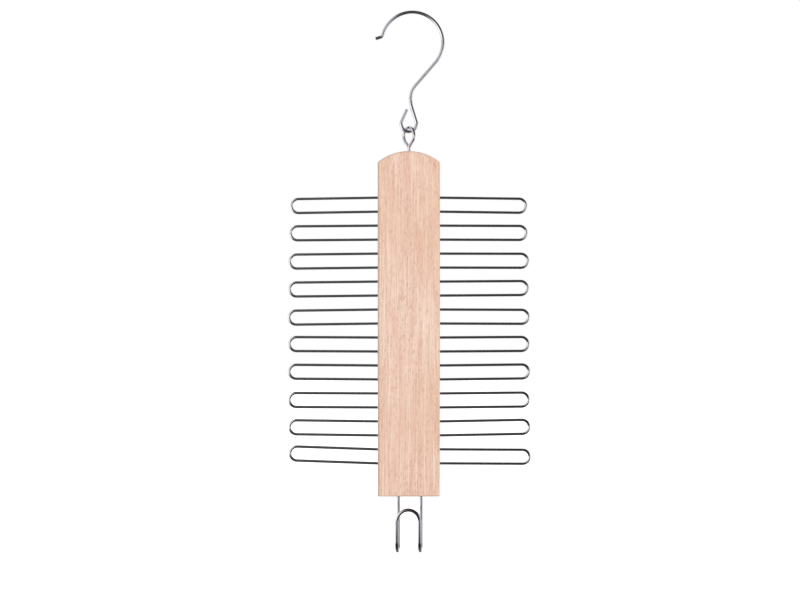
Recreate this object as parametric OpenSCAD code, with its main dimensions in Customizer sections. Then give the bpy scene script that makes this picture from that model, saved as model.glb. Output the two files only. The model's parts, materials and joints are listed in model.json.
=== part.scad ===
/* [Board] */
// Width of the board across its front
board_w = 48.8; // [44:0.2:70]
// Thickness of the board
board_t = 16; // [12:0.5:25]
// Height of the arched top above its shoulders
crown_rise = 8.7; // [4:0.1:16]
// Distance from the top of the arch down to the first drilled hole
top_margin = 36.3; // [30:0.1:60]
// Distance from the last drilled hole down to the sawn lower end
bottom_margin = 25.6; // [20:0.1:50]
// Radius of the rounded edges round the two faces
edge_round = 1.8; // [0.5:0.1:3]
// Width of the small chamfer round the sawn lower end
end_chamfer = 0.5; // [0.2:0.1:1.5]

/* [Tie loops] */
// Number of wire loops on each side
loops_per_side = 10; // [4:1:12]
// Spacing of the drilled holes, which is also the width of a loop from wire to wire
hole_pitch = 11; // [8:0.5:16]
// Diameter of the loop wire
loop_wire_d = 2.3; // [1.6:0.1:3.2]
// How far a loop stands out from the side of the board
loop_reach = 70.6; // [40:0.2:100]
// Depth of the drilled holes that hold the loops
loop_hole_depth = 13; // [8:0.5:14]

/* [Hanging hook] */
// Diameter of the hook wire
hook_wire_d = 2.8; // [2:0.1:3]
// Radius of the bow that goes over the rail, at the middle of the wire
bow_r = 24; // [18:0.5:32]
// Angle from the level on the right round to where the bow ends at its tip
bow_end_angle = 164; // [140:1:175]
// Length of the straight between the bow and the kick at its tip
kick_lead = 0.5; // [0.2:0.1:4]
// Radius of the outward kick at the tip
kick_r = 2.8; // [2.4:0.1:5]
// Angle of the outward kick
kick_turn = 56; // [20:1:80]
// Length of the straight end after the kick
kick_len = 4.2; // [1:0.1:10]
// Slant of the straight below the bow, away from plumb
neck_lean = 41; // [30:1:50]
// Length of the straight below the bow
neck_len = 23.1; // [15:0.1:40]
// Radius of the bend that turns the slant into the stem
neck_r = 18; // [10:0.5:25]
// Slant of the stem, the other way from plumb
stem_lean = 17; // [5:1:20]
// Length of the straight stem
stem_len = 12.6; // [10:0.1:30]
// Radius of the lower hook that holds the screw eye, at the middle of the wire
lower_hook_r = 6; // [5.8:0.1:8]
// Slant of the free arm of the lower hook, in towards the stem
arm_lean = 24; // [10:1:26]
// Length of the free arm of the lower hook
arm_len = 10; // [4:0.1:11]

/* [Screw eye] */
// Diameter of the eye wire
eye_wire_d = 2.6; // [2:0.1:2.8]
// Radius of the eye's ring at the middle of the wire
eye_r = 6.5; // [6:0.1:8]
// Distance from the ring's centre down to where its two sides meet
eye_drop = 8.9; // [8.6:0.1:12]
// Radius of the bend between the ring and the shank
eye_neck_r = 4; // [2:0.1:4.5]
// Turn of the ring's plane away from the front of the board
eye_turn = 52; // [50:1:60]
// Shank left showing between the ring and the board
shank_out = 3.6; // [3:0.1:12]
// Depth of the shank in the board
shank_depth = 16; // [10:0.5:25]

/* [Belt hook] */
// Diameter of the belt hook wire
belt_wire_d = 2.8; // [2:0.1:3.6]
// Distance between its two legs, from middle to middle
belt_span = 17.8; // [12:0.1:22]
// Distance from the board's end down to the lowest point of the wire's middle
belt_drop = 42.6; // [32:0.1:60]
// Radius of the two bends that bring the wire forward and up
belt_bend_r = 7; // [4:0.1:9]
// Gap between the board's end and the top of the front arch, at the wire's middle
belt_arch_gap = 9.9; // [6:0.1:12]
// Turn of the two bends away from straight forward
belt_turn = 5.5; // [0:0.5:8]
// Depth of its legs in the board
belt_depth = 13; // [8:0.5:15]
// Distance sideways from the board's centre line to the middle of the rear legs
belt_offset = 0.8; // [-2:0.1:2]

/* [Fits] */
// Radial room round a wire that is pushed into its hole
push_room = 0.03; // [0.01:0.01:0.05]
// Radial room round the screw eye's shank, which turns in its hole
turn_room = 0.05; // [0.02:0.01:0.1]
// Gap above the lowest point of the lower hook to the eye that hangs on it
seat_gap = 0.6; // [0.5:0.05:0.9]
// Chamfer of a cut wire end
wire_chamfer = 0.4; // [0.1:0.05:0.8]

/* [Hidden] */
// Lean of each loop in degrees, outer end up, from the top loop down: zeros make a perfectly even set
left_lean = [-1.0, -0.5, -0.7, -0.7, -0.8, 0.3, 0.5, 0.3, 0.8, 2.1];
right_lean = [-0.8, -0.2, -0.1, 0.4, -0.2, 0.4, 0.7, 0.6, 1.1, -0.3];
// Extra reach of each loop in millimetres, from the top loop down
left_extra = [-1.5, -0.9, -0.2, -0.1, 0.3, 0, 0.2, 0.1, -0.1, -0.4];
right_extra = [-1.8, -1.5, -0.3, -0.5, 0.2, 0, 0.5, 0.3, 0.8, 1.1];

LEFT_LOOPS = [for (i = [1:loops_per_side]) str("left_loop_", i)];
RIGHT_LOOPS = [for (i = [1:loops_per_side]) str("right_loop_", i)];

wood = "#ecc9b2";
plating = "#b9babd";
$fn = 64;
// How far a cutter runs past the face it cuts
over = 1;
// A rounded edge's arc stands this much above the faces it joins, so it meets them at a slight angle
edge_lift = 0.02;
// A straight stretch of wire is thinner than its bends by this much and runs this far into them
wire_step = 0.01;
wire_lap = 0.15;

// The hanging hook's path from the bow's centre, as [x, z] points in its own plane
neck_start = bow_r * [cos(neck_lean), -sin(neck_lean)];
neck_end = neck_start + neck_len * [-sin(neck_lean), -cos(neck_lean)];
neck_centre = neck_end + neck_r * [cos(neck_lean), -sin(neck_lean)];
stem_start = neck_centre - neck_r * [cos(stem_lean), sin(stem_lean)];
stem_end = stem_start + stem_len * [sin(stem_lean), -cos(stem_lean)];
lower_centre = stem_end - lower_hook_r * [cos(stem_lean), sin(stem_lean)];

// The wire's inside at the top of the bow rests on the rail at the origin, plumb above the lower hook
bow_x = -lower_centre[0];
bow_z = -sqrt(pow(bow_r - hook_wire_d / 2, 2) - pow(bow_x, 2));

// The top of the eye's ring hangs on the lower hook's wire, about whose middle the board swings
swing_z = bow_z + lower_centre[1] - lower_hook_r;
eye_z = swing_z + (hook_wire_d + eye_wire_d) / 2 + seat_gap - eye_r;
eye_slope = asin(eye_r / eye_drop);
eye_neck_len = eye_neck_r * tan(eye_slope / 2);
board_top = eye_z - eye_drop - shank_out;

// The board's height follows from its row of holes
board_h = top_margin + (2 * loops_per_side - 1) * hole_pitch + bottom_margin;
board_end = board_top - board_h;
crown_r = (pow(board_w / 2, 2) + pow(crown_rise, 2)) / (2 * crown_rise);
crown_half = asin(board_w / 2 / crown_r);
first_loop_z = board_top - top_margin - hole_pitch / 2;

// The belt hook's two bends bring its front legs forward by twice their radius
belt_bend_z = board_end - belt_drop + belt_bend_r;
belt_arch_z = board_end - belt_arch_gap - belt_span / 2;

// Straight wire between two bends in the drawing plane, or from a bend to a cut end with its edge taken off
module straight(d, from, to, cut = false) {
    along = (to - from) / norm(to - from);
    r = d / 2 - wire_step;
    len = norm(to - from) + (cut ? 1 : 2) * wire_lap;
    chamfer = cut ? wire_chamfer : 0;
    translate(from - wire_lap * along) rotate([0, 0, atan2(along[1], along[0])]) rotate([0, 90, 0])
        rotate_extrude() polygon([[0, 0], [r, 0], [r, len - chamfer], [r - chamfer, len], [0, len]]);
}

// Bent wire round a centre in the drawing plane, from one angle through a sweep
module bend(d, centre, r, from, sweep) {
    translate(centre) rotate([0, 0, from]) rotate_extrude(angle = sweep) translate([r, 0]) circle(d = d);
}

// The drawing plane stands up: its x stays x and its y becomes z
module upright() {
    rotate([90, 0, 0]) children();
}

module board_outline() {
    translate([-board_w / 2, board_end]) square([board_w, board_h - crown_rise]);
    intersection() {
        translate([-board_w / 2, board_top - crown_rise - over]) square([board_w, crown_rise + over]);
        translate([0, board_top - crown_r]) circle(r = crown_r, $fn = 180);
    }
}

// Section of the waste outside a rounded edge whose corner is at the origin
module round_waste() {
    difference() {
        translate([-edge_round, -edge_round]) square(edge_round + over);
        translate([-edge_round, -edge_round]) circle(r = edge_round + edge_lift);
    }
}

// Waste along the arched edge of the front face, run on past both shoulders
module arch_edge_waste() {
    sweep = 2 * (crown_half + 15);
    translate([0, 0, board_top - crown_r]) upright()
        rotate([0, 0, 90 - sweep / 2]) rotate_extrude(angle = sweep, $fn = 180)
            translate([crown_r, board_t / 2]) round_waste();
}

// Waste along the two long edges of the back face
module side_edge_waste() {
    for (side = [0, 1])
        mirror([side, 0, 0])
            translate([board_w / 2, board_t / 2, board_end - over])
                linear_extrude(board_h + 2 * over) round_waste();
}

// Waste of a chamfer along one edge of the lower end
module end_edge_waste(len) {
    rotate([90, 0, 0]) linear_extrude(len, center = true)
        polygon([[-end_chamfer - over, -over], [over, -over], [over, end_chamfer + over]]);
}

module board() {
    color(wood) difference() {
        difference() {
            upright() linear_extrude(board_t, center = true) board_outline();
            arch_edge_waste();
            mirror([0, 1, 0]) arch_edge_waste();
        }
        side_edge_waste();
        mirror([0, 1, 0]) side_edge_waste();
        for (turn = [0, 180])
            rotate([0, 0, turn]) translate([board_w / 2, 0, board_end]) end_edge_waste(board_t + 2 * over);
        for (turn = [90, 270])
            rotate([0, 0, turn]) translate([board_t / 2, 0, board_end]) end_edge_waste(board_w + 2 * over);
        for (i = [1:loops_per_side]) {
            on_left(i) loop_holes();
            on_right(i) loop_holes();
        }
        translate([0, 0, board_top - shank_depth])
            cylinder(r = eye_wire_d / 2 + turn_room, h = shank_depth + over);
        for (side = [-1, 1])
            translate([belt_offset + side * belt_span / 2, 0, board_end - over])
                cylinder(r = belt_wire_d / 2 + push_room, h = belt_depth + over);
    }
}

// Where a loop leaves the board: x runs straight out of the board's side
module on_right(i) {
    translate([board_w / 2, 0, first_loop_z - (i - 1) * 2 * hole_pitch])
        upright() rotate([0, 0, right_lean[(i - 1) % len(right_lean)]]) children();
}

module on_left(i) {
    translate([-board_w / 2, 0, first_loop_z - (i - 1) * 2 * hole_pitch])
        mirror([1, 0, 0]) upright() rotate([0, 0, left_lean[(i - 1) % len(left_lean)]]) children();
}

// The two drilled holes of one loop
module loop_holes() {
    for (side = [-1, 1])
        translate([-loop_hole_depth, side * hole_pitch / 2, 0]) rotate([0, 90, 0])
            cylinder(r = loop_wire_d / 2 + push_room, h = loop_hole_depth + over);
}

// One hairpin of wire, with both legs standing on the bottom of their holes
module loop_wire(extra) {
    bend_r = hole_pitch / 2;
    leg_end = loop_reach + extra - loop_wire_d / 2 - bend_r;
    for (side = [-1, 1])
        translate([-loop_hole_depth, side * bend_r, 0]) rotate([0, 90, 0])
            cylinder(d = loop_wire_d, h = loop_hole_depth + leg_end);
    bend(loop_wire_d, [leg_end, 0], bend_r, -90, 180);
}

module left_loop(i) {
    color(plating) on_left(i) loop_wire(left_extra[(i - 1) % len(left_extra)]);
}

module right_loop(i) {
    color(plating) on_right(i) loop_wire(right_extra[(i - 1) % len(right_extra)]);
}

// One wire: kick, bow, slanted neck, stem and the lower hook with its free arm
module hanging_hook() {
    bow_tip = bow_r * [cos(bow_end_angle), sin(bow_end_angle)];
    lead_end = bow_tip + kick_lead * [-sin(bow_end_angle), cos(bow_end_angle)];
    kick_centre = lead_end + kick_r * [cos(bow_end_angle), sin(bow_end_angle)];
    kick_angle = bow_end_angle + 180 - kick_turn;
    kick_start = kick_centre + kick_r * [cos(kick_angle), sin(kick_angle)];
    kick_end = kick_start + kick_len * [sin(kick_angle), -cos(kick_angle)];
    arm_start = lower_centre - lower_hook_r * [cos(arm_lean), -sin(arm_lean)];
    arm_end = arm_start + arm_len * [sin(arm_lean), cos(arm_lean)];
    color(plating) translate([bow_x, 0, bow_z]) upright() {
        straight(hook_wire_d, kick_start, kick_end, cut = true);
        bend(hook_wire_d, kick_centre, kick_r, kick_angle, kick_turn);
        straight(hook_wire_d, lead_end, bow_tip);
        bend(hook_wire_d, [0, 0], bow_r, -neck_lean, neck_lean + bow_end_angle);
        straight(hook_wire_d, neck_end, neck_start);
        bend(hook_wire_d, neck_centre, neck_r, 180 - neck_lean, neck_lean + stem_lean);
        straight(hook_wire_d, stem_end, stem_start);
        bend(hook_wire_d, lower_centre, lower_hook_r, -180 - arm_lean, 180 + arm_lean + stem_lean);
        straight(hook_wire_d, arm_start, arm_end, cut = true);
    }
}

// A drop-shaped ring whose wire runs down one side into the shank: its free end stops beside the neck
module screw_eye() {
    end_gap = 0.3;
    meet = [0, -eye_drop];
    neck_bottom = meet - [0, eye_neck_len];
    side_start = meet + eye_neck_len * [sin(eye_slope), cos(eye_slope)];
    side_end = eye_r * [cos(eye_slope), -sin(eye_slope)];
    free_start = eye_r * [-cos(eye_slope), -sin(eye_slope)];
    free_len = (eye_wire_d / 2 * (1 + cos(eye_slope)) + end_gap) / sin(eye_slope);
    free_end = meet + free_len * [-sin(eye_slope), cos(eye_slope)];
    color(plating) translate([0, 0, eye_z]) rotate([0, 0, -eye_turn]) upright() {
        straight(eye_wire_d, neck_bottom, meet - [0, shank_out + shank_depth], cut = true);
        bend(eye_wire_d, neck_bottom + [eye_neck_r, 0], eye_neck_r, 180 - eye_slope, eye_slope);
        straight(eye_wire_d, side_start, side_end);
        bend(eye_wire_d, [0, 0], eye_r, -eye_slope, 180 + 2 * eye_slope);
        straight(eye_wire_d, free_start, free_end, cut = true);
    }
}

// Two rear legs in the board's end, two bends forward and up, and an arch that joins the front legs
module belt_hook() {
    leg_len = board_end + belt_depth - belt_bend_z;
    forward = 2 * belt_bend_r * [-sin(belt_turn), -cos(belt_turn)];
    color(plating) {
        for (side = [-1, 1])
            translate([belt_offset + side * belt_span / 2, 0, belt_bend_z])
                rotate([0, 0, -90 - belt_turn]) upright() {
                    straight(belt_wire_d, [0, 0], [0, leg_len], cut = true);
                    bend(belt_wire_d, [belt_bend_r, 0], belt_bend_r, 180, 180);
                    straight(belt_wire_d, [2 * belt_bend_r, 0], [2 * belt_bend_r, belt_arch_z - belt_bend_z]);
                }
        translate([belt_offset + forward[0], forward[1], belt_arch_z]) upright()
            bend(belt_wire_d, [0, 0], belt_span / 2, 0, 180);
    }
}

board();
hanging_hook();
screw_eye();
belt_hook();
for (i = [1:loops_per_side]) left_loop(i);
for (i = [1:loops_per_side]) right_loop(i);
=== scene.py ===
import json
import math
import bmesh
import bpy
from mathutils import Matrix, Vector


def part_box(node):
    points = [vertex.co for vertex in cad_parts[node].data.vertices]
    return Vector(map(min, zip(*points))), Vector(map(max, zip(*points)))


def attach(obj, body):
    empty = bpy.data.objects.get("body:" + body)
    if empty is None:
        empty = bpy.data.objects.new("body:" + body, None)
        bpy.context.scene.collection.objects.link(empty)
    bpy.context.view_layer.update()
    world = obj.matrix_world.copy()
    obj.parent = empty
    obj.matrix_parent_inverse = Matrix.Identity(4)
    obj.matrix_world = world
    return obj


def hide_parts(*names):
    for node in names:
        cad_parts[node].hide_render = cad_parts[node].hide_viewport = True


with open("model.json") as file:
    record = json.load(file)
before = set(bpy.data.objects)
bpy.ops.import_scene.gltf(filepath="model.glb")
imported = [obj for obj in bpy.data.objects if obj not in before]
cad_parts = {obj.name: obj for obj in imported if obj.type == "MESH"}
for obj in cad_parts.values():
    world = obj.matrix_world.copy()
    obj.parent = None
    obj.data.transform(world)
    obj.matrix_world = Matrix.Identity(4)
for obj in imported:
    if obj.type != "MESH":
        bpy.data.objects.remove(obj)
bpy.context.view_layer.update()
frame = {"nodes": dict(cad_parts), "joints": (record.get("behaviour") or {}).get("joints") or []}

# The board: one length of beech, planed, arched on top with a spindle, rounded over along its
# long edges and left sawn at the foot. Both sides are drilled for the loops, the top for the
# screw eye and the foot for the belt hook. A thin clear finish keeps the wood pale.

MM = 0.001
board_low, board_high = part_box("board")
board_half = board_high.x
half_thick = board_high.y
board_top = board_high.z
board_foot = board_low.z
crown_rise = 8.7 * MM
edge_round = 1.8 * MM
shoulder_round = 2.2 * MM
foot_chamfer = 0.5 * MM
crown_radius = (board_half ** 2 + crown_rise ** 2) / (2 * crown_rise)


def board_rim():
    """The board's rim seen from the front, from the foot on the left over the arch to the foot on the
    right, as (x, z) points with the outward normal at each."""
    crown_z = board_top - crown_radius
    x = board_half - shoulder_round
    z = crown_z + math.sqrt((crown_radius - shoulder_round) ** 2 - x ** 2)
    lean = math.atan2(z - crown_z, x)
    arch_steps, shoulder_steps = 72, 8
    right = [(board_half, board_foot, 0.0)]
    for i in range(shoulder_steps + 1):
        a = lean * i / shoulder_steps
        right.append((x + shoulder_round * math.cos(a), z + shoulder_round * math.sin(a), a))
    for i in range(1, arch_steps // 2):
        a = lean + (math.pi / 2 - lean) * i / (arch_steps // 2)
        right.append((crown_radius * math.cos(a), crown_z + crown_radius * math.sin(a), a))
    left = [(-px, pz, math.pi - a) for px, pz, a in right]
    rim = left + [(0.0, board_top, math.pi / 2)] + right[::-1]
    return [(Vector((px, 0, pz)), Vector((math.cos(a), 0, math.sin(a)))) for px, pz, a in rim]


def board_mesh():
    """Sweeps the rounded edge round the rim and closes the front, the back and the foot."""
    steps = 8
    quarter = [math.pi / 2 * i / steps for i in range(steps + 1)]
    flat = half_thick - edge_round
    section = [(-edge_round * (1 - math.sin(a)), -flat - edge_round * math.cos(a)) for a in quarter]
    section += [(inset, -y) for inset, y in section[::-1]]
    made = bmesh.new()
    rows = [[made.verts.new(point + normal * inset + Vector((0, y, 0))) for inset, y in section]
            for point, normal in board_rim()]
    for one, two in zip(rows, rows[1:]):
        for i in range(len(section) - 1):
            made.faces.new((one[i], one[i + 1], two[i + 1], two[i]))
    made.faces.new([row[0] for row in rows][::-1])
    made.faces.new([row[-1] for row in rows])
    foot = made.faces.new(rows[0] + rows[-1][::-1])
    bmesh.ops.recalc_face_normals(made, faces=made.faces)
    bmesh.ops.bevel(made, geom=list(foot.edges), offset=foot_chamfer, segments=2, affect="EDGES",
                    profile=0.5, clamp_overlap=True)
    mesh = bpy.data.meshes.new("board_of_beech")
    made.to_mesh(mesh)
    made.free()
    return mesh


def put(name, mesh):
    """An object for a mesh, linked into the scene and standing where the mesh says."""
    piece = bpy.data.objects.new(name, mesh)
    bpy.context.scene.collection.objects.link(piece)
    return piece


def linear(hex_colour, alpha=1.0):
    """An sRGB hex colour as the linear values that a shader takes."""
    levels = [int(hex_colour[i:i + 2], 16) / 255 for i in (1, 3, 5)]
    return [v / 12.92 if v <= 0.04045 else ((v + 0.055) / 1.055) ** 2.4 for v in levels] + [alpha]


def add(tree, kind, inputs=None, stops=(), **settings):
    """Adds one node with its settings and colour stops. An input takes a plain value, an output, or
    a node, which stands for its first output."""
    made = tree.nodes.new(kind)
    for name, value in settings.items():
        setattr(made, name, value)
    for key, value in (inputs or {}).items():
        value = value.outputs[0] if isinstance(value, bpy.types.Node) else value
        if isinstance(value, bpy.types.NodeSocket):
            tree.links.new(value, made.inputs[key])
        else:
            made.inputs[key].default_value = value
    if stops:
        elements = made.color_ramp.elements
        while len(elements) < len(stops):
            elements.new(1.0)
        for element, (place, level) in zip(elements, stops):
            element.position = place
            element.color = linear(level) if isinstance(level, str) else (level, level, level, 1)
    return made


def new_material(name):
    """An empty node material with its surface shader."""
    material = bpy.data.materials.new(name)
    material.use_nodes = True
    tree = material.node_tree
    tree.nodes.clear()
    shader = add(tree, "ShaderNodeBsdfPrincipled")
    add(tree, "ShaderNodeOutputMaterial", {"Surface": shader.outputs[0]})
    return material, tree, shader


def beech():
    """Planed beech under a thin clear finish: pale pinkish tan with long fine fibres, soft growth
    lines that run up the board, and the short dark flecks that mark beech."""
    material, tree, shader = new_material("beech, planed and clear finished")
    place = add(tree, "ShaderNodeTexCoord")
    in_mm = add(tree, "ShaderNodeVectorMath", {0: place.outputs["Object"], "Scale": 1 / MM},
                operation="SCALE")
    axes = add(tree, "ShaderNodeSeparateXYZ", {0: in_mm})

    # Each layer of the wood: how wide and how long one patch is in mm, its detail, and the noise
    # levels that count as none and full. Each is moved on by the gaps, so that no two look alike
    layer_gaps = (7.3, 2.9, 4.1)
    layers = {"sway": (16, 90, 1, 0.3, 0.7), "wobble": (3, 40, 1, 0.2, 0.8),
              "patch": (26, 40, 1, 0.35, 0.65), "rose": (7, 34, 2, 0.5, 0.7),
              "fibre": (0.62, 20, 3, 0.3, 0.7), "speck": (0.8, 3.4, 2, 0.5, 0.72),
              "streak": (0.75, 60, 2, 0.5, 0.68), "field": (5, 18, 2, 0.42, 0.6),
              "pore": (0.45, 4, 2, 0.55, 0.36)}
    grain = {}
    for count, (name, (across, along, detail, none, full)) in enumerate(layers.items()):
        mapped = add(tree, "ShaderNodeMapping", {
            "Vector": in_mm, "Location": [gap * count for gap in layer_gaps],
            "Scale": (1 / across, 1 / across, 1 / along)})
        noise = add(tree, "ShaderNodeTexNoise", {"Vector": mapped, "Scale": 1.0, "Detail": detail})
        grain[name] = add(tree, "ShaderNodeMapRange", {"Value": noise, "From Min": none, "From Max": full})

    # Growth rings round a pith behind the board and right of its middle, which leans forwards
    pith_x, pith_y, pith_lean = 14.0, 30.0, 0.022
    ring_width, sway_width = 2.1, 3.4
    sway = add(tree, "ShaderNodeMath", {0: grain["sway"], 1: sway_width}, operation="MULTIPLY")
    from_pith = add(tree, "ShaderNodeMapping", {
        "Vector": in_mm, "Location": (-pith_x, -pith_y, 0), "Rotation": (pith_lean, 0, 0)})
    swayed = add(tree, "ShaderNodeCombineXYZ", {0: sway})
    flat = add(tree, "ShaderNodeVectorMath", {0: from_pith, 1: (1, 1, 0), 2: swayed},
               operation="MULTIPLY_ADD")
    away = add(tree, "ShaderNodeVectorMath", {0: flat}, operation="LENGTH")
    rings = add(tree, "ShaderNodeMath", {
        0: away.outputs["Value"], 1: 1 / ring_width, 2: grain["wobble"]}, operation="MULTIPLY_ADD")
    ring = add(tree, "ShaderNodeMath", {0: rings}, operation="FRACT")
    grain["growth"] = add(tree, "ShaderNodeValToRGB", {0: ring}, [
        (0.0, 0.55), (0.16, 0.0), (0.62, 0.10), (0.93, 1.0), (1.0, 0.55)])

    # Rays cut across as short dark flecks, thickest along the middle of the board
    fleck_width, fleck_length = 1.25, 5.2
    fleck_place = add(tree, "ShaderNodeMapping", {
        "Vector": in_mm, "Scale": (1 / fleck_width, 1 / fleck_width, 1 / fleck_length)})
    cells = add(tree, "ShaderNodeTexVoronoi", {"Vector": fleck_place, "Scale": 1.0})
    fleck = add(tree, "ShaderNodeMapRange", {"Value": cells, "From Min": 0.34, "From Max": 0.16})
    off_middle = add(tree, "ShaderNodeMath", {0: axes.outputs[0]}, operation="ABSOLUTE")
    crowd = add(tree, "ShaderNodeMapRange", {
        "Value": off_middle, "From Min": 6.0, "From Max": 14.0, "To Min": 1.0, "To Max": 0.35})
    some = add(tree, "ShaderNodeMath", {0: grain["field"], 1: crowd}, operation="MULTIPLY")
    grain["fleck"] = add(tree, "ShaderNodeMath", {0: fleck, 1: some}, operation="MULTIPLY")

    # The tone across the board's width, from the left edge to the right one
    width_mm = 2 * board_half / MM
    swayed_x = add(tree, "ShaderNodeMath", {0: axes.outputs[0], 1: sway}, operation="ADD")
    across = add(tree, "ShaderNodeMapRange", {
        "Value": swayed_x, "From Min": -width_mm / 2, "From Max": width_mm / 2})
    tone = add(tree, "ShaderNodeValToRGB", {0: across}, [
        (0.0, "#ecc19b"), (0.09, "#efc8a6"), (0.17, "#e4bca2"), (0.24, "#efcdb7"), (0.38, "#eecab3"),
        (0.50, "#e8c2ab"), (0.64, "#ebc6ae"), (0.88, "#ecc7ad"), (1.0, "#ebc09c")])
    colour = tone.outputs[0]

    # The tone along its length, from the foot to the top, pushed up and down by the patches
    patch_lift = 22.0
    lifted = add(tree, "ShaderNodeMath", {0: grain["patch"], 1: patch_lift, 2: axes.outputs[2]},
                 operation="MULTIPLY_ADD")
    up = add(tree, "ShaderNodeMapRange", {
        "Value": lifted, "From Min": board_foot / MM + patch_lift / 2,
        "From Max": board_top / MM + patch_lift / 2})
    grain["light_length"] = add(tree, "ShaderNodeValToRGB", {0: up}, [
        (0.0, 0.3), (0.10, 0.4), (0.25, 0.0), (0.42, 0.75), (0.58, 0.8), (0.72, 0.15), (1.0, 0.25)])

    # The edges: painted greyish shade on the round-over of the left side and of the arch, and a
    # painted dark line of shade along the foot. Each begins and is full at a distance from the edge in mm or
    # at a slope
    facing = add(tree, "ShaderNodeSeparateXYZ", {0: place.outputs["Normal"]})
    left_mm, foot_mm = -board_half / MM, board_foot / MM
    sideways = add(tree, "ShaderNodeMath", {0: facing.outputs[1]}, operation="ABSOLUTE")
    rounded = add(tree, "ShaderNodeMapRange", {"Value": sideways, "From Min": 0.03, "From Max": 0.2})
    for name, value, none, full in (("left_edge_shade", axes.outputs[0], left_mm + 1.9, left_mm + 0.9),
                                    ("arch_edge_shade", facing.outputs[2], 0.2, 0.6)):
        near = add(tree, "ShaderNodeMapRange", {"Value": value, "From Min": none, "From Max": full})
        grain[name] = add(tree, "ShaderNodeMath", {0: near, 1: rounded}, operation="MULTIPLY")
    # A painted dark line of shade along the foot, where little light comes from below
    grain["foot_line_shade"] = add(tree, "ShaderNodeMapRange", {
        "Value": axes.outputs[2], "From Min": foot_mm + 1.0, "From Max": foot_mm + 0.35})

    # The arched top and the sawn foot show the ends of the fibres: darker, with open pores
    upright = add(tree, "ShaderNodeMath", {0: facing.outputs[2]}, operation="ABSOLUTE")
    grain["end"] = add(tree, "ShaderNodeMapRange", {"Value": upright, "From Min": 0.5, "From Max": 0.95})
    grain["end_pore"] = add(tree, "ShaderNodeMath", {0: grain["end"], 1: grain["pore"]},
                            operation="MULTIPLY")

    # Each layer tints the wood by this much towards this colour, one after the other; the left edge, arch
    # edge and foot line layers are painted shade
    for name, strength, tint in (
            ("light_length", 0.75, "#f8dfd0"), ("patch", 0.40, "#f4d5c1"), ("rose", 0.36, "#e9b095"),
            ("growth", 0.34, "#d8a286"), ("fibre", 0.46, "#d6a78e"), ("speck", 0.50, "#c08f76"),
            ("streak", 0.46, "#fdebdc"), ("fleck", 0.52, "#bd8469"), ("left_edge_shade", 0.40, "#a3958d"),
            ("arch_edge_shade", 0.2, "#b9aca2"), ("foot_line_shade", 0.75, "#93786a"), ("end", 0.35, "#cfa284"),
            ("end_pore", 0.45, "#9c6c4e")):
        amount = add(tree, "ShaderNodeMath", {0: grain[name], 1: strength}, operation="MULTIPLY")
        mixed = add(tree, "ShaderNodeMix", {0: amount, 6: colour, 7: linear(tint)}, data_type="RGBA")
        colour = mixed.outputs[2]

    # The flecks and fibres stand a little below the finish
    fleck_share, grain_depth = 1.3, 0.06 * MM
    relief = add(tree, "ShaderNodeMath", {0: grain["fleck"], 1: fleck_share, 2: grain["fibre"]},
                 operation="MULTIPLY_ADD")
    bump = add(tree, "ShaderNodeBump", {"Height": relief, "Strength": 0.16, "Distance": grain_depth},
               invert=True)
    gloss = add(tree, "ShaderNodeMapRange", {"Value": grain["fibre"], "To Min": 0.44, "To Max": 0.56})
    for socket, value in (("Base Color", colour), ("Roughness", gloss.outputs[0]),
                          ("Normal", bump.outputs[0])):
        tree.links.new(value, shader.inputs[socket])
    shader.inputs["IOR"].default_value = 1.5
    shader.inputs["Coat Weight"].default_value = 0.12
    shader.inputs["Coat Roughness"].default_value = 0.35
    return material


# Where the holes are drilled, for which wires and how deep
loop_count = 10
hole_pitch = 11.0 * MM
top_margin = 36.3 * MM
loop_wire = 2.3 * MM
eye_wire = 2.6 * MM
belt_wire = 2.8 * MM
belt_span = 17.8 * MM
belt_offset = 0.8 * MM
hole_room = 0.05 * MM
leg_depth = 13.0 * MM
shank_depth = 16.0 * MM
shank_room = 0.1 * MM


def drill(made, mouth, outward, wire, depth):
    """A drilled hole with its mouth just broken, as a cutter that stands in the given place."""
    radius = wire / 2 + hole_room
    break_edge = 0.22 * MM
    over = 0.6 * MM
    turn = Vector((0, 0, 1)).rotation_difference(outward).to_matrix().to_4x4()
    section = [(radius, -depth), (radius, -break_edge), (radius + break_edge + over, over)]
    sides = 24
    rows = [[made.verts.new(Matrix.Translation(mouth) @ turn @ Vector((
        r * math.cos(2 * math.pi * i / sides), r * math.sin(2 * math.pi * i / sides), h)))
        for i in range(sides)] for r, h in section]
    for one, two in zip(rows, rows[1:]):
        for i in range(sides):
            made.faces.new((one[i], one[i - 1], two[i - 1], two[i]))
    made.faces.new(rows[0])
    made.faces.new(rows[-1][::-1])
    bmesh.ops.recalc_face_normals(made, faces=made.faces)


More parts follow.
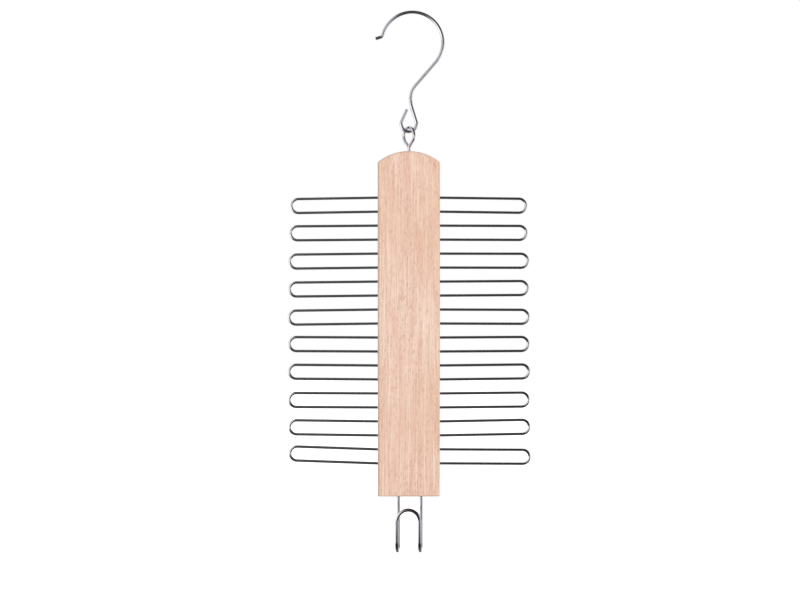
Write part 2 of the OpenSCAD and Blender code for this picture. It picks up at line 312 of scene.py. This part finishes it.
def drilled_board():
    """The board with its forty loop holes, the screw eye's hole and the belt hook's two holes."""
    sharp_degrees = 32
    board = put("board_of_beech", board_mesh())
    cutters = bmesh.new()
    for i in range(2 * loop_count):
        height = board_top - top_margin - i * hole_pitch
        for side in (-1, 1):
            drill(cutters, Vector((side * board_half, 0, height)), Vector((side, 0, 0)), loop_wire,
                  leg_depth)
    drill(cutters, Vector((0, 0, board_top)), Vector((0, 0, 1)), eye_wire, shank_depth + shank_room)
    for side in (-1, 1):
        foot = Vector((belt_offset + side * belt_span / 2, 0, board_foot))
        drill(cutters, foot, Vector((0, 0, -1)), belt_wire, leg_depth)
    cutter_mesh = bpy.data.meshes.new("drills")
    cutters.to_mesh(cutter_mesh)
    cutters.free()
    drills = put("drills", cutter_mesh)
    cut = board.modifiers.new("holes", "BOOLEAN")
    cut.operation, cut.solver, cut.object = "DIFFERENCE", "EXACT", drills
    shade = board.modifiers.new("normals", "WEIGHTED_NORMAL")
    shade.keep_sharp = True
    board.data.polygons.foreach_set("use_smooth", [True] * len(board.data.polygons))
    board.data.set_sharp_from_angle(angle=math.radians(sharp_degrees))
    graph = bpy.context.evaluated_depsgraph_get()
    finished = bpy.data.meshes.new_from_object(board.evaluated_get(graph), depsgraph=graph)
    board.modifiers.clear()
    board.data = finished
    bpy.data.objects.remove(drills)
    return board


board = drilled_board()
board.data.materials.clear()
board.data.materials.append(beech())
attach(board, "rack")
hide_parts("board")

# The tie loops: twenty hairpins of plated steel wire, cut, bent round a pin and pushed with both
# legs into the drilled holes. No two lean or reach quite the same, and each follows its own node.


def wire_path(start, heading, steps):
    """Points along the middle of a wire as it is fed and bent: a step is a straight length, or
    (radius, degrees, axis) for a bend that turns the heading about that axis."""
    least_parts, degrees_a_part = 4, 4
    place, heading = Vector(start), Vector(heading).normalized()
    points = [place.copy()]
    for step in steps:
        if isinstance(step, tuple):
            radius, degrees, axis = step
            axis = Vector(axis).normalized()
            centre = place + radius * axis.cross(heading)
            count = max(least_parts, math.ceil(abs(degrees) / degrees_a_part))
            for i in range(1, count + 1):
                turn = Matrix.Rotation(math.radians(degrees) * i / count, 3, axis)
                points.append(centre + turn @ (place - centre))
            place, heading = points[-1].copy(), turn @ heading
        else:
            place = place + step * heading
            points.append(place.copy())
    return points


def wire_tree():
    """Draws a round wire along a curve, with its cut ends slightly taken off, and lays a map on it
    that runs in metres along the wire and from 0 to 1 round it."""
    tree = bpy.data.node_groups.new("drawn wire", "GeometryNodeTree")
    for name, kind in (("Path", "NodeSocketGeometry"), ("Diameter", "NodeSocketFloat"),
                       ("Sides", "NodeSocketInt"), ("End chamfer", "NodeSocketFloat"),
                       ("Finish", "NodeSocketMaterial")):
        tree.interface.new_socket(name, in_out="INPUT", socket_type=kind)
    tree.interface.new_socket("Wire", in_out="OUTPUT", socket_type="NodeSocketGeometry")
    given = add(tree, "NodeGroupInput").outputs
    radius = add(tree, "ShaderNodeMath", {0: given["Diameter"], 1: 0.5}, operation="MULTIPLY")
    along = add(tree, "GeometryNodeSplineParameter")
    length = add(tree, "GeometryNodeSplineLength")
    to_end = add(tree, "ShaderNodeMath", {0: length, 1: along.outputs["Length"]}, operation="SUBTRACT")
    nearest = add(tree, "ShaderNodeMath", {0: along.outputs["Length"], 1: to_end}, operation="MINIMUM")
    at_end = add(tree, "ShaderNodeMapRange", {
        "Value": nearest, "From Min": 0.0, "From Max": given["End chamfer"]})
    cut_radius = add(tree, "ShaderNodeMath", {0: radius, 1: given["End chamfer"]}, operation="SUBTRACT")
    thick = add(tree, "ShaderNodeMapRange", {"Value": at_end, "To Min": cut_radius, "To Max": radius})
    kept_along = add(tree, "GeometryNodeCaptureAttribute", {"Geometry": given["Path"]}, domain="POINT")
    kept_along.capture_items.new("FLOAT", "along")
    tree.links.new(along.outputs["Length"], kept_along.inputs["along"])
    ring = add(tree, "GeometryNodeCurvePrimitiveCircle", {"Resolution": given["Sides"], "Radius": 1.0})
    kept_round = add(tree, "GeometryNodeCaptureAttribute", {"Geometry": ring}, domain="POINT")
    kept_round.capture_items.new("FLOAT", "round")
    tree.links.new(add(tree, "GeometryNodeSplineParameter").outputs["Factor"], kept_round.inputs["round"])
    swept = add(tree, "GeometryNodeCurveToMesh", {
        "Curve": kept_along, "Profile Curve": kept_round, "Scale": thick, "Fill Caps": True})
    place = add(tree, "ShaderNodeCombineXYZ", {
        0: kept_along.outputs["along"], 1: kept_round.outputs["round"]})
    mapped = add(tree, "GeometryNodeStoreNamedAttribute", {
        "Geometry": swept, "Name": "wire", "Value": place}, data_type="FLOAT2", domain="CORNER")
    smooth = add(tree, "GeometryNodeSetShadeSmooth", {"Geometry": mapped})
    finish = add(tree, "GeometryNodeSetMaterial", {"Geometry": smooth, "Material": given["Finish"]})
    add(tree, "NodeGroupOutput", {"Wire": finish})
    return tree


draw_wire = wire_tree()


def wire(name, points, diameter, finish, body, node, sides=24, end_chamfer=0.35 * MM):
    """One wire of the hanger: its path as a curve, drawn by the tree and kept as a plain mesh."""
    sharp_degrees = 30
    ends = [points[0] + (points[1] - points[0]).normalized() * end_chamfer,
            points[-1] + (points[-2] - points[-1]).normalized() * end_chamfer]
    points = [points[0], ends[0], *points[1:-1], ends[1], points[-1]]
    curve = bpy.data.curves.new(name + "_path", "CURVE")
    curve.dimensions = "3D"
    spline = curve.splines.new("POLY")
    spline.points.add(len(points) - 1)
    spline.points.foreach_set("co", [c for p in points for c in (*p, 1.0)])
    path = bpy.data.objects.new(name + "_path", curve)
    bpy.context.scene.collection.objects.link(path)
    drawn = path.modifiers.new("wire", "NODES")
    drawn.node_group = draw_wire
    values = {"Diameter": diameter, "Sides": sides, "End chamfer": end_chamfer, "Finish": finish}
    for item in draw_wire.interface.items_tree:
        if item.name in values:
            drawn[item.identifier] = values[item.name]
    graph = bpy.context.evaluated_depsgraph_get()
    mesh = bpy.data.meshes.new_from_object(path.evaluated_get(graph), depsgraph=graph)
    bpy.data.objects.remove(path)
    mesh.name = name
    mesh.set_sharp_from_angle(angle=math.radians(sharp_degrees))
    piece = put(name, mesh)
    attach(piece, body)
    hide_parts(node)
    return piece


def plated_wire():
    """Bright plated steel wire: a mirror that is a little blurred, with the faint lines that the
    drawing die leaves along it and slow waves where it was straightened and bent."""
    material, tree, shader = new_material("bright plated steel wire")
    line_length, lines_round, wave_length, haze_size = 18 * MM, 26, 14 * MM, 3 * MM
    wave_share, relief_depth = 6.0, 0.007 * MM
    laid = add(tree, "ShaderNodeUVMap", uv_map="wire")
    die_lines = add(tree, "ShaderNodeMapping", {"Vector": laid, "Scale": (1 / line_length, lines_round, 1)})
    lines = add(tree, "ShaderNodeTexNoise", {"Vector": die_lines, "Scale": 1.0})
    place = add(tree, "ShaderNodeTexCoord").outputs["Object"]
    slow = add(tree, "ShaderNodeTexNoise", {"Vector": place, "Scale": 1 / wave_length, "Detail": 1.0})
    haze = add(tree, "ShaderNodeTexNoise", {"Vector": place, "Scale": 1 / haze_size, "Detail": 3.0})
    height = add(tree, "ShaderNodeMath", {0: slow, 1: wave_share, 2: lines}, operation="MULTIPLY_ADD")
    bump = add(tree, "ShaderNodeBump", {"Height": height, "Strength": 0.25, "Distance": relief_depth})
    tone = add(tree, "ShaderNodeValToRGB", {0: haze}, [(0.3, "#d0cfd6"), (0.7, "#dedde3")])
    blur = add(tree, "ShaderNodeMapRange", {"Value": haze, "To Min": 0.05, "To Max": 0.10})
    for socket, value in (("Base Color", tone), ("Roughness", blur), ("Normal", bump)):
        tree.links.new(value.outputs[0], shader.inputs[socket])
    shader.inputs["Metallic"].default_value = 1.0
    return material


plating = plated_wire()


def loop_points(side, number):
    """The path of one loop, with its lean and reach read from its node."""
    node = frame["nodes"][("left" if side < 0 else "right") + "_loop_%d" % number]
    corners = [v.co for v in node.data.vertices]
    tip = max(side * c.x for c in corners)
    bend = [c for c in corners if side * c.x > tip - hole_pitch / 2]
    midway = 2 * number - 1.5
    hole_z = board_top - top_margin - midway * hole_pitch
    middle_x = sum(side * c.x for c in bend) / len(bend)
    middle_z = sum(c.z for c in bend) / len(bend)
    lean = math.atan2(middle_z - hole_z, middle_x - board_half)
    leg = (tip - board_half - hole_pitch / 2 - loop_wire / 2) / math.cos(lean)
    out = Vector((side * math.cos(lean), 0, math.sin(lean)))
    up = Vector((-side * math.sin(lean), 0, math.cos(lean)))
    start = Vector((side * board_half, 0, hole_z)) - out * leg_depth - up * hole_pitch / 2
    length = leg_depth + leg
    return wire_path(start, out, [length, (hole_pitch / 2, 180, out.cross(up)), length])


for number in range(1, loop_count + 1):
    for side, word in ((-1, "left"), (1, "right")):
        node = "%s_loop_%d" % (word, number)
        wire(node + "_wire", loop_points(side, number), loop_wire, plating, "rack", node)

# The screw eye: one wire bent to a drop-shaped ring, with its free end tucked beside the neck and
# its other end turned down into a shank, which has a wood screw thread and a point cut into it and
# is screwed into the top of the board.

swing = next(j for j in frame["joints"] if j["name"] == "swing")
swing_z = swing["pos_m"][2]
hook_wire = 2.8 * MM
eye_radius = 6.5 * MM
eye_drop = 8.9 * MM
eye_neck = 4.0 * MM
eye_turn = 52
seat_gap = 0.6 * MM
free_stop = 0.5 * MM

# The thread, for which the wire of the shank has eight points in each turn
thread_pitch = 1.6 * MM
thread_step = thread_pitch / 8
thread_steps = 65
thread_core = 0.74
point_length = 2.5 * MM
point_end = 0.3


def eye_points():
    """From the foot of the shank up the neck, round the ring and down to the end that butts on it."""
    slope = math.asin(eye_radius / eye_drop)
    centre_z = swing_z + (hook_wire + eye_wire) / 2 + seat_gap - eye_radius
    neck_bend = eye_neck * math.tan(slope / 2)
    side = math.sqrt(eye_drop ** 2 - eye_radius ** 2)
    plain = centre_z - eye_drop - neck_bend - (board_top - shank_depth) - thread_steps * thread_step
    across = Vector((math.cos(math.radians(eye_turn)), -math.sin(math.radians(eye_turn)), 0))
    over = Vector((0, 0, 1)).cross(across)
    ring_turn = 180 + 2 * math.degrees(slope)
    return wire_path((0, 0, board_top - shank_depth), (0, 0, 1), [
        2 * thread_step, *[thread_step] * (thread_steps - 2), plain,
        (eye_neck, math.degrees(slope), over), side - neck_bend,
        (eye_radius, ring_turn, -over), side - free_stop])


def cut_thread(eye):
    """Cuts the thread and the point into the shank, within the wire's own thickness."""
    foot = board_top - shank_depth
    top = foot + thread_steps * thread_step
    for vertex in eye.data.vertices:
        x, y, z = vertex.co
        if z < top:
            turn = (z / thread_pitch - math.atan2(y, x) / (2 * math.pi)) % 1
            ridge = max(0.0, 1 - 4 * abs(turn - 0.5))
            depth = (1 - thread_core) * min(1.0, (top - z) / thread_pitch)
            thick = (1 - depth * (1 - ridge)) * min(1.0, point_end + (z - foot) / point_length)
            vertex.co = (x * thick, y * thick, z)


cut_thread(wire("screw_eye_wire", eye_points(), eye_wire, plating, "eye", "screw_eye"))

# The rail hook: one wire with a kicked tip, the bow that goes over the rail, a slanted neck, a
# stem and a small closed hook at its lower end, bent on pegs and plated after bending.

bow_radius = 24.0 * MM
tip_lead, tip_radius, tip_turn, tip_length = 0.5 * MM, 2.8 * MM, 56, 4.2 * MM
bow_end = 164
neck_lean, neck_length, neck_radius = 41, 23.1 * MM, 18.0 * MM
stem_lean, stem_length = 17, 12.6 * MM
lower_radius = 6.0 * MM
arm_lean, arm_length = 24, 10.0 * MM


def hook_points():
    """From the free arm round the lower hook, up the stem and the neck and over the bow to the tip."""
    lower_centre = Vector((0, 0, swing_z + lower_radius))
    arm = math.radians(arm_lean)
    up_arm = Vector((math.sin(arm), 0, math.cos(arm)))
    start = lower_centre - lower_radius * Vector((math.cos(arm), 0, -math.sin(arm))) + arm_length * up_arm
    left, right = (0, -1, 0), (0, 1, 0)
    return wire_path(start, -up_arm, [
        arm_length, (lower_radius, 180 + arm_lean + stem_lean, left), stem_length,
        (neck_radius, neck_lean + stem_lean, right), neck_length,
        (bow_radius, neck_lean + bow_end, left), tip_lead, (tip_radius, tip_turn, right), tip_length])


wire("rail_hook_wire", hook_points(), hook_wire, plating, "hook", "hanging_hook", sides=32)

# The belt hook: one wire whose two legs stand in the board's foot. Both turn forwards and up in a
# round bend, and the front legs are joined by an arch.

belt_drop = 42.6 * MM
belt_bend = 7.0 * MM
belt_arch_gap = 9.9 * MM
belt_turn = 5.5


def belt_points():
    """From the left leg in the board's foot down, forwards, up, over the arch and back."""
    turn = math.radians(belt_turn)
    forward = Vector((-math.sin(turn), -math.cos(turn), 0))
    start = Vector((belt_offset - belt_span / 2, 0, board_foot + leg_depth))
    rear = leg_depth + belt_drop - belt_bend
    front = belt_drop - belt_bend - belt_arch_gap - belt_span / 2
    side = forward.cross(Vector((0, 0, 1)))
    return wire_path(start, (0, 0, -1), [
        rear, (belt_bend, 180, side), front, (belt_span / 2, 180, (0, 1, 0)), front,
        (belt_bend, 180, -side), rear])


wire("belt_hook_wire", belt_points(), belt_wire, plating, "rack", "belt_hook")

# The photographer's place: a straight view with a long lens, a pale floor under the hanger and a
# white background behind it. The plated wires show white cards and lamps at both sides and the
# dark room in front, above and below.

floor_z = -0.50
floor_size = 6.0
floor_mesh = bpy.data.meshes.new("pale_floor")
floor_corners = ((-1, -1), (1, -1), (1, 1), (-1, 1))
floor_mesh.from_pydata([(x * floor_size, y * floor_size, floor_z) for x, y in floor_corners],
                       [], [(0, 1, 2, 3)])
floor = put("pale_floor", floor_mesh)
dark_studio = 0.025


def floor_paint():
    """White paper that is bright where the camera sees it and keeps the shadow. A reflection finds
    it white behind the hanger and at both sides and dark on the photographer's side. From below
    it is open, so the hanger can be looked at from there too."""
    material = bpy.data.materials.new("white paper floor")
    material.use_nodes = True
    tree = material.node_tree
    tree.nodes.clear()
    seen = add(tree, "ShaderNodeLightPath").outputs
    mirrored = add(tree, "ShaderNodeMath", {0: seen["Is Glossy Ray"], 1: seen["Is Transmission Ray"]},
                   operation="MAXIMUM")
    place = add(tree, "ShaderNodeSeparateXYZ", {0: add(tree, "ShaderNodeTexCoord").outputs["Object"]})
    level = add(tree, "ShaderNodeMapRange", {
        "Value": place.outputs[1], "From Min": -0.05, "From Max": 0.3, "To Min": dark_studio, "To Max": 1.0})

    # To each side: where the white begins, where it is full, and how bright
    for near, far, bright in ((-0.3, -0.7, 0.95), (0.3, 0.7, 0.55)):
        beside = add(tree, "ShaderNodeMapRange", {
            "Value": place.outputs[0], "From Min": near, "From Max": far, "To Min": 0.0, "To Max": bright})
        level = add(tree, "ShaderNodeMath", {0: level, 1: beside}, operation="MAXIMUM")
    paper = add(tree, "ShaderNodeBsdfDiffuse", {"Color": linear("#f0f0ef")})
    shine = add(tree, "ShaderNodeEmission", {"Color": (1, 1, 1, 1), "Strength": 0.7})
    shining = add(tree, "ShaderNodeAddShader", {0: paper, 1: shine})
    in_view = add(tree, "ShaderNodeMixShader", {0: seen["Is Camera Ray"], 1: paper, 2: shining})
    reflected = add(tree, "ShaderNodeEmission", {"Strength": level})
    mixed = add(tree, "ShaderNodeMixShader", {0: mirrored, 1: in_view, 2: reflected})
    under = add(tree, "ShaderNodeNewGeometry").outputs["Backfacing"]
    clear = add(tree, "ShaderNodeBsdfTransparent")
    one_sided = add(tree, "ShaderNodeMixShader", {0: under, 1: mixed, 2: clear})
    add(tree, "ShaderNodeOutputMaterial", {"Surface": one_sided})
    return material


floor.data.materials.append(floor_paint())

# How the soft light is shared out, and how much the cards narrow upwards and downwards
soft_base, soft_front, soft_right = 0.47, 1.75, 0.35
card_slope_up, card_slope_down = 0.55, -1.1


def studio_world():
    """White where the camera sees it. A reflection finds it white behind the hanger, a wide white
    card on the left, a narrow one on the right and the dark room in front, above and below.
    Everything else gets a soft light that comes mostly from the front and the back, and more from
    the right than from the left, so that each edge of the board falls off in tone."""
    world = bpy.data.worlds.new("studio")
    bpy.context.scene.world = world
    world.use_nodes = True
    tree = world.node_tree
    tree.nodes.clear()
    seen = add(tree, "ShaderNodeLightPath").outputs
    mirrored = add(tree, "ShaderNodeMath", {0: seen["Is Glossy Ray"], 1: seen["Is Transmission Ray"]},
                   operation="MAXIMUM")
    way = add(tree, "ShaderNodeSeparateXYZ", {0: add(tree, "ShaderNodeTexCoord").outputs["Generated"]})
    above = add(tree, "ShaderNodeMath", {0: way.outputs[2], 1: card_slope_up}, operation="MULTIPLY")
    below = add(tree, "ShaderNodeMath", {0: way.outputs[2], 1: card_slope_down}, operation="MULTIPLY")
    height = add(tree, "ShaderNodeMath", {0: above, 1: below}, operation="MAXIMUM")

    # The white behind the hanger begins further back on the right
    late = add(tree, "ShaderNodeMapRange", {"Value": way.outputs[0], "To Max": -0.5})
    depth = add(tree, "ShaderNodeMath", {0: way.outputs[1], 1: late}, operation="ADD")
    level = add(tree, "ShaderNodeMapRange", {
        "Value": depth, "From Min": -0.05, "From Max": 0.4, "To Min": dark_studio, "To Max": 1.0})

    # The cards: the side, where each begins and is full, and how bright. Both narrow with height
    for sign, near, far, bright in ((-1, -0.15, 0.10, 0.80), (1, 0.40, 0.70, 0.30)):
        sideways = add(tree, "ShaderNodeMath", {0: way.outputs[0], 1: sign}, operation="MULTIPLY")
        inside = add(tree, "ShaderNodeMath", {0: sideways, 1: height}, operation="SUBTRACT")
        card = add(tree, "ShaderNodeMapRange", {
            "Value": inside, "From Min": near, "From Max": far, "To Min": 0.0, "To Max": bright})
        level = add(tree, "ShaderNodeMath", {0: level, 1: card}, operation="MAXIMUM")

    # The soft light
    ahead = add(tree, "ShaderNodeMath", {0: way.outputs[1]}, operation="ABSOLUTE")
    facing = add(tree, "ShaderNodeMath", {0: ahead, 1: 2.0}, operation="POWER")
    evened = add(tree, "ShaderNodeMath", {0: facing, 1: soft_front, 2: soft_base},
                 operation="MULTIPLY_ADD")
    sided = add(tree, "ShaderNodeMath", {0: way.outputs[0], 1: soft_right, 2: evened},
                operation="MULTIPLY_ADD")
    soft = add(tree, "ShaderNodeBackground", {"Color": (1, 1, 1, 1), "Strength": sided})
    reflected = add(tree, "ShaderNodeBackground", {"Color": (1, 1, 1, 1), "Strength": level})
    white = add(tree, "ShaderNodeBackground", {"Color": (1, 1, 1, 1), "Strength": 1.0})
    unseen = add(tree, "ShaderNodeMixShader", {0: mirrored, 1: soft, 2: reflected})
    shown = add(tree, "ShaderNodeMixShader", {0: seen["Is Camera Ray"], 1: unseen, 2: white})
    add(tree, "ShaderNodeOutputWorld", {"Surface": shown})


studio_world()


def softbox(name, azimuth, distance, low, high, width, radiance):
    """A large soft lamp that stands upright, faces the hanger and is found by reflections only.
    Azimuth 0 is the camera's side, a positive one lies to the right, and radiance 1 is white."""
    lamp = bpy.data.lights.new(name, "AREA")
    lamp.shape, lamp.size, lamp.size_y = "RECTANGLE", width, high - low
    lamp.energy = radiance * math.pi * lamp.size * lamp.size_y
    holder = bpy.data.objects.new(name, lamp)
    holder.visible_diffuse = False
    turn = math.radians(azimuth)
    holder.location = (distance * math.sin(turn), -distance * math.cos(turn), (low + high) / 2)
    holder.rotation_euler = (math.pi / 2, 0, turn)
    bpy.context.scene.collection.objects.link(holder)


softbox("left_softbox", -48, 0.85, -0.44, 0.02, 1.0, 0.65)
softbox("right_softbox", 74, 0.85, -0.44, 0.02, 0.4, 0.8)

# The photo's own view, at the scale measured in it
photo_mm_per_px = 0.787
photo_width_px, photo_height_px = 800, 600
board_middle_px, rail_seat_px = 408.8, 14.1
lens, sensor = 100.0, 36.0
camera_data = bpy.data.cameras.new("photo_view")
camera_data.lens, camera_data.sensor_width = lens, sensor
distance = photo_width_px * photo_mm_per_px * MM * lens / sensor
camera = bpy.data.objects.new("photo_view", camera_data)
camera.location = ((photo_width_px / 2 - board_middle_px) * photo_mm_per_px * MM, -distance,
                   (rail_seat_px - photo_height_px / 2) * photo_mm_per_px * MM)
camera.rotation_euler = (math.pi / 2, 0, 0)
bpy.context.scene.collection.objects.link(camera)
bpy.context.scene.camera = camera
bpy.context.scene.view_settings.view_transform = "Standard"
